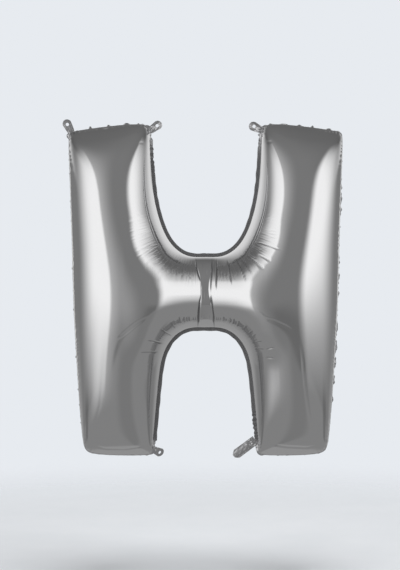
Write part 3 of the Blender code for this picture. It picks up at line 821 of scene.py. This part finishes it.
def flat_tab():
    """Hole middle + (hole radius + share * (outline radius - hole radius)) along each ray."""
    line = tab_outline() - (HOLE_AT, 0.0)
    angle = np.arctan2(line[:, 1], line[:, 0])
    order = np.argsort(angle)
    ray = np.linspace(-np.pi, np.pi, TAB_RAYS, endpoint=False)
    reach = np.interp(ray, angle[order], np.linalg.norm(line, axis=1)[order], period=2.0 * np.pi)
    share = np.linspace(0.0, 1.0, TAB_RINGS)[:, None]
    radius = HOLE_RADIUS + share * (reach - HOLE_RADIUS)[None]
    return HOLE_AT + radius * np.cos(ray), radius * np.sin(ray)


def build_tab(name, body, root, direction, fold_deg, curl, tilt, crumple, seed):
    """Root + direction * along + sideways * across + normal * (tilt + curl + crumple), with two walls."""
    a, b = flat_tab()
    root = np.array(root)
    level = np.array((math.cos(math.radians(direction)), 0.0, math.sin(math.radians(direction))))
    sideways = np.array((-level[2], 0.0, level[0]))
    up = np.array((0.0, 1.0, 0.0))
    fold_at = math.radians(fold_deg) * smooth((a + 0.002) / 0.006)
    lift = (curl * (b / TAB_HALF) ** 2 + tilt[0] * a + tilt[1] * b) * smooth(a / 0.012)
    lift = lift + crumple * (0.35 + np.exp(-np.abs(a) / 0.008)) * ripple(a * 0.45, b, 6, seed, 0.0085)
    lift = lift + 0.35 * crumple * ripple(a, b, 5, seed + 50, 0.0045) * np.exp(-np.abs(a) / 0.010)
    sine, cosine = np.sin(fold_at)[..., None], np.cos(fold_at)[..., None]
    points = root + a[..., None] * (cosine * level + sine * up) + b[..., None] * sideways
    normal = cosine * up - sine * level
    walls = [points + normal * (lift + half)[..., None] for half in (-TAB_FILM, TAB_FILM)]
    rows = np.concatenate((walls[0], walls[1][::-1]))
    tab = new_piece(name, rows.reshape(-1, 3), ring_faces(*rows.shape[:2], joined=True))
    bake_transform(tab)
    return tab


# Name, root on the fold line, direction and fold in degrees, curl, tilt along and across, crumple, seed
TABS = (
    ("left_outer_top", (-0.34986, 0.0, 0.41114), 118.05, 0.0, 0.0010, (0.0, 0.0), 0.00050, 4),
    ("left_inner_top", (-0.14125, 0.0, 0.41368), 33.0, 0.0, -0.0040, (-0.20, 0.13), 0.00110, 7),
    ("right_inner_top", (0.14210, 0.0, 0.41420), 152.0, 0.0, 0.0045, (0.20, 0.11), 0.00090, 11),
    ("left_inner_bottom", (-0.13039, 0.0, -0.41759), -33.0, 45.0, 0.0008, (0.0, 0.0), 0.00060, 15),
)
tabs = []
for name, *shape in TABS:
    tab = build_tab("tab_film_" + name, "tab_" + name, *shape)
    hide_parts("hang_tab_" + name)
    tabs.append(tab)
print("tabs:", [tab.name for tab in tabs])

# %% [markdown]
# ## Fill neck and valve
#
# The balloon is filled through a flat sleeve at the right foot. It is two films sealed at their sides with
# the thin valve film between them, so its section is a slim lens with flat margins. It could be two sheets
# laid on each other, but their edges would have to meet exactly. A closed section carried along the sleeve
# to its slanted, rounded tip has no such edges, and it turns inwards at the tip to make the mouth.

# %% The sleeve as a closed section carried along
NECK_ROOT = np.array((0.12204, 0.0, -0.39629))
NECK_DIRECTION = 216.5
NECK_LENGTH = 0.062
NECK_HALF = 0.0123
NECK_PUFF = 0.0009
NECK_OVERLAP = 0.009
MOUTH_HALF = 0.0078
neck_along = np.array((math.cos(math.radians(NECK_DIRECTION)), 0.0, math.sin(math.radians(NECK_DIRECTION))))
neck_aside = np.array((-neck_along[2], 0.0, neck_along[0]))


def neck_place(a, b, lift):
    """Root + direction * along + sideways * across, with the lift towards the front."""
    place = NECK_ROOT + a[..., None] * neck_along + b[..., None] * neck_aside
    place[..., 1] -= lift
    return place


def build_neck():
    """Closed section (across, +-puff) at shares along; the last sections step back inside as the mouth."""
    share = np.concatenate((np.linspace(0.0, 1.0, 60), (0.999, 0.97, 0.90)))
    inset = np.concatenate((np.zeros(60), (0.35, 0.65, 0.9)))
    across = np.sin(np.linspace(-0.5, 0.5, 33) * np.pi)
    across = np.concatenate((across, across[::-1][1:-1]))
    side = np.concatenate((np.ones(33), -np.ones(31)))
    side[[0, 32]] = 0.0
    b = NECK_HALF * across[None] * (1.0 - 0.35 * inset[:, None])
    tip = NECK_LENGTH - 0.0105 * np.abs(b / NECK_HALF) ** 2.2 - 0.0008
    a = -NECK_OVERLAP + share[:, None] * (tip + NECK_OVERLAP)
    pocket = np.clip(1.0 - (np.abs(b) / MOUTH_HALF) ** 4, 0.0, 1.0)
    puff = 0.0003 + NECK_PUFF * pocket * smooth((a - 0.004) / 0.02) * (1.0 - 0.55 * inset[:, None])
    crumple = 0.0011 * np.exp(-np.abs(a - 0.004) / 0.010) * ripple(a * 0.5, b, 6, 31, 0.0080)
    crumple = crumple + 0.00010 * ripple(a, b, 6, 37, 0.0120)
    sag = 0.0022 * smooth((a - 0.004) / 0.02) * (b / NECK_HALF)
    points = neck_place(a, b, side[None] * puff + crumple + sag)
    rows, around = a.shape
    caps = [list(range(around))[::-1], list(range((rows - 1) * around, rows * around))]
    return points.reshape(-1, 3), ring_faces(rows, around, joined=False).tolist() + caps


neck = new_piece("neck_film", *build_neck(), turned_outwards=True)
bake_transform(neck)
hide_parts("fill_neck")

# %% The valve film between the two walls of the mouth
VALVE_HALF = 0.0062
VALVE_REACH = 0.0615


def build_valve():
    """A thin wavy strip, closed round its edge, from inside the sleeve to just inside the mouth."""
    a = np.linspace(NECK_LENGTH - 0.012, VALVE_REACH, 16)[:, None]
    b = VALVE_HALF * np.linspace(-1.0, 1.0, 17)[None]
    a = a - 0.0012 * (b / VALVE_HALF) ** 2
    b = b + 0.0 * a
    lift = 0.00035 * np.cos(b * 900.0) * smooth((a - 0.052) / 0.006)
    rows, columns = a.shape
    walls = [neck_place(a, b, lift + half) for half in (0.00007, -0.00007)]
    points = np.concatenate([wall.reshape(-1, 3) for wall in walls])
    top = grid_faces(rows, columns)
    bottom = grid_faces(rows, columns, rows * columns)[:, ::-1]
    corner = np.arange(rows * columns).reshape(rows, columns)
    edge = np.concatenate((corner[0, :-1], corner[:-1, -1], corner[-1, :0:-1], corner[:0:-1, 0]))
    ahead = np.roll(edge, -1)
    sides = np.stack((edge, ahead, ahead + rows * columns, edge + rows * columns), axis=-1)
    return points, np.concatenate((top, bottom, sides))


valve = new_piece("valve_film", *build_valve(), turned_outwards=True)
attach(valve, "neck")
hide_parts("fill_valve")
print("neck and valve:", len(neck.data.polygons), len(valve.data.polygons), "faces")

# %% [markdown]
# ## Film finish
#
# Metallised film is a mirror with a faint haze. Up close the sheet has fine lines from the rollers that
# made it, a slow unevenness, and tiny crackle where it has been folded. These could be painted as pictures,
# but a picture has one scale only. One node group makes that surface height and haze for all pieces, and
# each material uses it at its own strength. What is too fine for the mesh, the crinkles beside the seam and
# the hairs off the inner corners, comes from the numbers that each point keeps. One of these numbers also
# roughens the film and paints the shade of its crinkles and deep pleats into its grey, and it darkens the
# seal in the notches.

# %% Helpers for nodes
def add_node(tree, kind, inputs=None, **settings):
    """A node with its settings and inputs given; an input is a number, a colour or another node's output."""
    node = tree.nodes.new(kind)
    for key, value in settings.items():
        setattr(node, key, value)
    for key, value in (inputs or {}).items():
        connect(tree, value, node.inputs[key])
    return node


def connect(tree, value, socket):
    """Link another node's output to a socket, or set the socket's own value."""
    if isinstance(value, bpy.types.NodeSocket):
        tree.links.new(value, socket)
    else:
        socket.default_value = value


def maths(tree, operation, *values):
    """Output of a Math node."""
    return add_node(tree, "ShaderNodeMath", dict(enumerate(values)), operation=operation).outputs[0]


def step_between(tree, value, low, high):
    """0 below low, 1 above high, with a soft step between."""
    inputs = {"Value": value, "From Min": low, "From Max": high}
    return add_node(tree, "ShaderNodeMapRange", inputs, interpolation_type="SMOOTHSTEP").outputs["Result"]


def mixed(tree, share, first, second):
    """Colour mixed by a share from two, each a colour or another node's output."""
    inputs = {"Factor": share, 6: first, 7: second}
    return add_node(tree, "ShaderNodeMix", inputs, data_type="RGBA").outputs[2]


def noise(tree, vector, scale, detail, roughness=0.5):
    """Fractal noise, from 0 to 1."""
    inputs = {"Vector": vector, "Scale": scale, "Detail": detail, "Roughness": roughness}
    return add_node(tree, "ShaderNodeTexNoise", inputs).outputs["Fac"]


# %% Shared group: the film's fine surface
film_surface = bpy.data.node_groups.new("Film surface", "ShaderNodeTree")
for name, default in (("Crackle", 0.3), ("Roller lines", 0.3), ("Haze", 0.12)):
    socket = film_surface.interface.new_socket(name, in_out="INPUT", socket_type="NodeSocketFloat")
    socket.default_value = default
for name in ("Height", "Roughness", "Tone"):
    film_surface.interface.new_socket(name, in_out="OUTPUT", socket_type="NodeSocketFloat")
given = film_surface.nodes.new("NodeGroupInput").outputs
place = film_surface.nodes.new("ShaderNodeTexCoord").outputs["Object"]
stretched = add_node(film_surface, "ShaderNodeMapping", {"Vector": place, "Scale": (260.0, 60.0, 5.0)})
lines = noise(film_surface, stretched.outputs[0], 1.0, 3.0, 0.55)
cells = add_node(film_surface, "ShaderNodeTexVoronoi", {
    "Vector": place, "Scale": 240.0, "Randomness": 1.0,
}, feature="DISTANCE_TO_EDGE").outputs["Distance"]
patches = noise(film_surface, place, 14.0, 4.0, 0.6)
fine = noise(film_surface, place, 520.0, 2.0)
crease = maths(film_surface, "MULTIPLY", step_between(film_surface, cells, 0.0, 0.12), given["Crackle"])
ribs = maths(film_surface, "MULTIPLY", lines, given["Roller lines"])
grit = maths(film_surface, "MULTIPLY", fine, 0.12)
uneven = maths(film_surface, "SUBTRACT", patches, 0.5)
add_node(film_surface, "NodeGroupOutput", {
    "Height": maths(film_surface, "ADD", maths(film_surface, "ADD", crease, ribs), grit),
    "Roughness": maths(film_surface, "MULTIPLY_ADD", uneven, 0.10, given["Haze"]),
    "Tone": maths(film_surface, "MULTIPLY_ADD", uneven, 0.10, 0.5),
})


# %% One material for every film: the group, and for metallised film its creases and the painted shade in them
HAIR_DEPTH = 0.00022
# Darker grey painted in as shade in the deep pleats and the crinkles; the seal in the notches is darkened
# with it too
CREASE_SHADE_GREY = (0.20, 0.20, 0.205, 1.0)


def kept_number(tree, name):
    """The number that the mesh keeps for each point under this name."""
    return add_node(tree, "ShaderNodeAttribute", attribute_name=name).outputs["Fac"]


def creases_and_painted_shade(tree, grey, roughness, normal):
    """The kept share roughens the metal and paints the shade of grooves and crinkles into its grey; hairs are
    noise stretched along rays off the seam, as a bump.
    """
    crinkle_and_painted_shade = kept_number(tree, "crinkle_and_painted_shade")
    ray = add_node(tree, "ShaderNodeCombineXYZ", {
        "X": maths(tree, "MULTIPLY", kept_number(tree, "station"), 150.0),
        "Y": maths(tree, "MULTIPLY", kept_number(tree, "away"), 22.0),
    }).outputs[0]
    strand = maths(tree, "ABSOLUTE", maths(tree, "SUBTRACT", noise(tree, ray, 1.0, 2.0), 0.5))
    hair = maths(tree, "MULTIPLY", step_between(tree, strand, 0.0, 0.10), kept_number(tree, "hairs"))
    bump = add_node(tree, "ShaderNodeBump", {
        "Height": hair, "Strength": 1.0, "Distance": HAIR_DEPTH, "Normal": normal,
    })
    shaded_grey = mixed(tree, crinkle_and_painted_shade, grey, CREASE_SHADE_GREY)
    return shaded_grey, maths(tree, "MULTIPLY_ADD", crinkle_and_painted_shade, 0.20, roughness), bump.outputs["Normal"]


def film_material(name, dark, light, haze, depth, metallic, **strengths):
    """Tone mixes two greys, haze is roughness, height is a bump of the given depth in metres."""
    material = bpy.data.materials.new(name)
    material.use_nodes = True
    tree = material.node_tree
    surface = add_node(tree, "ShaderNodeGroup", node_tree=film_surface)
    for socket, value in {"Haze": haze, **strengths}.items():
        surface.inputs[socket.replace("_", " ")].default_value = value
    bump = add_node(tree, "ShaderNodeBump", {
        "Height": surface.outputs["Height"], "Strength": 1.0, "Distance": depth,
    })
    grey = mixed(tree, surface.outputs["Tone"], (*dark, 1.0), (*light, 1.0))
    finish = (grey, surface.outputs["Roughness"], bump.outputs["Normal"])
    if metallic:
        finish = creases_and_painted_shade(tree, *finish)
    shader = tree.nodes["Principled BSDF"]
    for value, socket in zip(finish, ("Base Color", "Roughness", "Normal")):
        connect(tree, value, shader.inputs[socket])
    shader.inputs["Metallic"].default_value = metallic
    return material


silver_film = film_material(
    "silver_film", (0.60, 0.60, 0.605), (0.70, 0.70, 0.705), 0.075, 0.00004, 1.0,
    Crackle=0.05, Roller_lines=0.5,
)
sealed_film = film_material(
    "sealed_film", (0.46, 0.46, 0.47), (0.62, 0.62, 0.63), 0.24, 0.00012, 1.0, Crackle=0.8, Roller_lines=0.3,
)
milky_film = film_material("valve_film", (0.70, 0.72, 0.73), (0.88, 0.89, 0.90), 0.38, 0.00008, 0.0)
for material, pieces in (
    (silver_film, (film_front, film_back)), (sealed_film, (sealed_edge, neck, *tabs)), (milky_film, (valve,)),
):
    for piece in pieces:
        piece.data.materials.append(material)
print("materials:", [material.name for material in (silver_film, sealed_film, milky_film)])

# %% [markdown]
# ## Studio
#
# What a mirror shows is the room. Lamps and boxes could be built round the balloon, but moving one of them
# moves every reflection at once. Here the room is written straight into the world shader by direction, so
# each edge has its own angle. A tall soft box stands to the left and another to the right, with inner edges
# that lean outwards at the top and feet that fade. A glow surrounds the left one, the front where the
# camera stands is dim, with a darker patch low on the right, and the air above the boxes is in shade. A
# pale wall is behind the balloon, over a grey floor. Every change is a soft step of an angle. The camera
# itself sees only a plain pale ground.

# %% How bright each part of the room is
BOX_LEVEL = 1.31
WALL_LEVEL = 0.96
HALO_LEVEL = 0.89
BACK_FLOOR_LEVEL = 0.41
LEFT_FLOOR_LEVEL = 0.32
FRONT_LEVEL = 0.27
CEILING_LEVEL = 0.225
LOW_RIGHT_LEVEL = 0.20
EDGE_LEVEL = 0.19
SHADE_LEVEL = 0.15
GROUND_TONE = (0.80, 0.83, 0.87)

# %% Directions: turn away from the front, to either side, and rise or fall from level
world = bpy.data.worlds.new("Studio")
bpy.context.scene.world = world
world.use_nodes = True
room = world.node_tree
room.nodes.clear()


def room_maths(operation, *values):
    """Output of a Math node in the room."""
    return maths(room, operation, *values)


aim = add_node(room, "ShaderNodeTexCoord").outputs["Generated"]
aim = add_node(room, "ShaderNodeVectorMath", {0: aim}, operation="NORMALIZE").outputs["Vector"]
split = add_node(room, "ShaderNodeSeparateXYZ", {"Vector": aim}).outputs
signed_turn = room_maths("ARCTAN2", split["X"], room_maths("MULTIPLY", split["Y"], -1.0))
turn = room_maths("ABSOLUTE", signed_turn)
left_turn = room_maths("MULTIPLY", signed_turn, -1.0)
rise = room_maths("ARCSINE", split["Z"])
fall = room_maths("MULTIPLY", rise, -1.0)


# %% Masks made of soft steps
def angle_step(value, low_deg, high_deg):
    """Soft step of an angle between two angles in degrees."""
    return step_between(room, value, math.radians(low_deg), math.radians(high_deg))


def product(*masks):
    """Product of several masks."""
    total = masks[0]
    for mask in masks[1:]:
        total = room_maths("MULTIPLY", total, mask)
    return total


def without(mask):
    """One minus a mask."""
    return room_maths("SUBTRACT", 1.0, mask)


def band(value, enter, leave):
    """Mask of an angle that comes in between the first two angles and goes out between the last two."""
    return product(angle_step(value, *enter), without(angle_step(value, *leave)))


def sided(left, right):
    """A number that changes from its left value to its right value across the front."""
    return room_maths("MULTIPLY_ADD", on_right, right - left, left)


def sided_step(value, left_deg, right_deg):
    """Soft step whose two angles are others on the left than on the right."""
    low, high = (sided(math.radians(a), math.radians(b)) for a, b in zip(left_deg, right_deg))
    return step_between(room, value, low, high)


on_right = angle_step(signed_turn, 0.0, 30.0)
print("room directions:", len(room.nodes), "nodes")

# %% The two tall boxes: the inner edge leans, head and foot change with the turn
beyond = room_maths("SUBTRACT", turn, math.radians(60.0))
above = room_maths("MAXIMUM", room_maths("SUBTRACT", rise, math.radians(20.0)), 0.0)
first_lean = room_maths("MULTIPLY", above, 0.22)
lean = room_maths("MULTIPLY_ADD", room_maths("MULTIPLY", above, above), 0.85, first_lean)
foot_height = room_maths("SUBTRACT", rise, room_maths("MULTIPLY", sided(0.18, 0.15), beyond))
box = product(
    sided_step(room_maths("SUBTRACT", turn, lean), (29.5, 35.5), (26.0, 43.0)),
    without(sided_step(room_maths("ADD", rise, beyond), (0.0, 54.0), (12.0, 68.0))),
    sided_step(foot_height, (-23.5, 0.5), (-21.0, 8.0)),
)

# %% The rest of the room, from the front backwards
halo = product(
    angle_step(left_turn, -2.0, 57.0), without(angle_step(turn, 48.0, 81.0)),
    band(rise, (-35.0, -7.0), (21.0, 74.0)),
)
shade = product(angle_step(turn, 11.0, 106.0), angle_step(rise, 24.5, 39.5))
low_back = product(angle_step(turn, 150.0, 160.0), angle_step(rise, -16.0, -4.0))
wall_foot = room_maths("MAXIMUM", angle_step(rise, 5.5, 9.0), low_back)
wall = product(angle_step(turn, 85.5, 137.0), without(angle_step(rise, 29.5, 71.0)), wall_foot)
low_patch = product(band(signed_turn, (-4.0, 14.0), (25.0, 29.0)), band(fall, (4.0, 15.0), (19.0, 20.5)))
side_gap = product(band(turn, (82.0, 91.0), (100.0, 110.0)), band(fall, (9.0, 15.0), (36.0, 44.0)))
floor_side = room_maths("MAXIMUM", angle_step(left_turn, -8.0, 10.0), angle_step(signed_turn, 24.0, 40.0))
off_edge = room_maths("ABSOLUTE", room_maths("SUBTRACT", fall, math.radians(19.6)))
near_edge = without(angle_step(off_edge, 0.325, 1.3))
front_edge = product(near_edge, band(signed_turn, (-22.0, -12.0), (22.0, 26.0)))
# Each row moves the level towards its own by its mask, in this order
level = FRONT_LEVEL
for mask, target in (
    (product(floor_side, angle_step(fall, 16.5, 19.5)), LEFT_FLOOR_LEVEL),
    (halo, HALO_LEVEL),
    (low_patch, LOW_RIGHT_LEVEL),
    (shade, SHADE_LEVEL),
    (angle_step(rise, 44.5, 100.0), CEILING_LEVEL),
    (wall, WALL_LEVEL),
    (product(angle_step(turn, 115.0, 145.0), angle_step(fall, 2.0, 9.0)), BACK_FLOOR_LEVEL),
    (room_maths("MULTIPLY", side_gap, 0.6), SHADE_LEVEL),
    (box, BOX_LEVEL),
    (room_maths("MULTIPLY", front_edge, 0.8), EDGE_LEVEL),
):
    level = room_maths("MULTIPLY_ADD", room_maths("SUBTRACT", target, level), mask, level)

# %% The camera sees the plain ground tone, everything else sees the room
seen = add_node(room, "ShaderNodeBackground", {"Color": (*GROUND_TONE, 1.0), "Strength": 1.0})
mirrored = add_node(room, "ShaderNodeBackground", {"Color": (1.0, 1.0, 1.0, 1.0), "Strength": level})
from_camera = add_node(room, "ShaderNodeLightPath").outputs["Is Camera Ray"]
choice = add_node(room, "ShaderNodeMixShader", {0: from_camera, 1: mirrored.outputs[0], 2: seen.outputs[0]})
add_node(room, "ShaderNodeOutputWorld", {"Surface": choice.outputs[0]})
print("room:", len(room.nodes), "nodes")

# %% [markdown]
# ## Floor, light and camera
#
# The balloon floats, so the floor is well below it. It is a pale disc whose rim fades into the ground tone,
# and one soft light from above lays a faint shadow on it. The camera stands level in front, at the height
# and distance from which the strokes have the proportions seen in the photograph.

# %% Pale floor
FLOOR_Z = -0.74
FLOOR_RADIUS = 2.4
floor_rays = np.linspace(0.0, 2.0 * np.pi, 96, endpoint=False)
floor_reach = np.linspace(0.0, 1.0, 14)[1:] * FLOOR_RADIUS
ring_points = np.stack([
    np.outer(floor_reach, np.cos(floor_rays)), np.outer(floor_reach, np.sin(floor_rays)),
    np.full((len(floor_reach), len(floor_rays)), FLOOR_Z),
], axis=-1).reshape(-1, 3)
floor_ring = len(floor_rays)
fan = [[0, 1 + near, 1 + (near + 1) % floor_ring] for near in range(floor_ring)]
floor_faces = (ring_faces(len(floor_reach), floor_ring, joined=False) + 1).tolist() + fan
floor_points = np.vstack(((0.0, 0.0, FLOOR_Z), ring_points))
floor = new_piece("studio_floor", floor_points, floor_faces, turned_outwards=True)
floor.visible_glossy = False
floor_material = bpy.data.materials.new("studio_floor")
floor_material.use_nodes = True
floor_tree = floor_material.node_tree
floor_shader = floor_tree.nodes["Principled BSDF"]
floor_place = add_node(floor_tree, "ShaderNodeTexCoord").outputs["Object"]
floor_flat = add_node(
    floor_tree, "ShaderNodeVectorMath", {0: floor_place, 1: (1.0, 1.0, 0.0)}, operation="MULTIPLY",
)
floor_reached = add_node(
    floor_tree, "ShaderNodeVectorMath", {0: floor_flat.outputs["Vector"]}, operation="LENGTH",
)
floor_rim = step_between(floor_tree, floor_reached.outputs["Value"], 0.5, FLOOR_RADIUS * 0.96)
floor_fade = maths(floor_tree, "SUBTRACT", 1.0, floor_rim)
floor_grain = noise(floor_tree, floor_place, 6.0, 5.0)
floor_tone = mixed(floor_tree, floor_grain, (0.74, 0.77, 0.80, 1.0), (0.82, 0.84, 0.87, 1.0))
connect(floor_tree, floor_tone, floor_shader.inputs["Base Color"])
connect(floor_tree, floor_fade, floor_shader.inputs["Alpha"])
floor_shader.inputs["Roughness"].default_value = 0.85
floor.data.materials.append(floor_material)

# %% Light and camera
overhead = bpy.data.lights.new("overhead", "AREA")
overhead.shape = "DISK"
overhead.size = 1.6
overhead.energy = 55.0
overhead_object = bpy.data.objects.new("overhead", overhead)
overhead_object.location = (0.2, -0.3, 2.2)
overhead_object.visible_camera = False
overhead_object.visible_glossy = False
bpy.context.scene.collection.objects.link(overhead_object)

CAMERA_DISTANCE = 3.5
PIXEL = 0.002594
FRAME_HEIGHT = 570 * PIXEL
camera_data = bpy.data.cameras.new("camera")
camera_data.sensor_width = 36.0
camera_data.lens = camera_data.sensor_width * CAMERA_DISTANCE / FRAME_HEIGHT
camera = bpy.data.objects.new("camera", camera_data)
camera.location = (-0.01453, -CAMERA_DISTANCE, 0.01103)
camera.rotation_euler = (math.radians(90.0), 0.0, 0.0)
bpy.context.scene.collection.objects.link(camera)
bpy.context.scene.camera = camera
bpy.context.scene.view_settings.view_transform = "Standard"
print("lens: %.1f mm" % camera_data.lens)
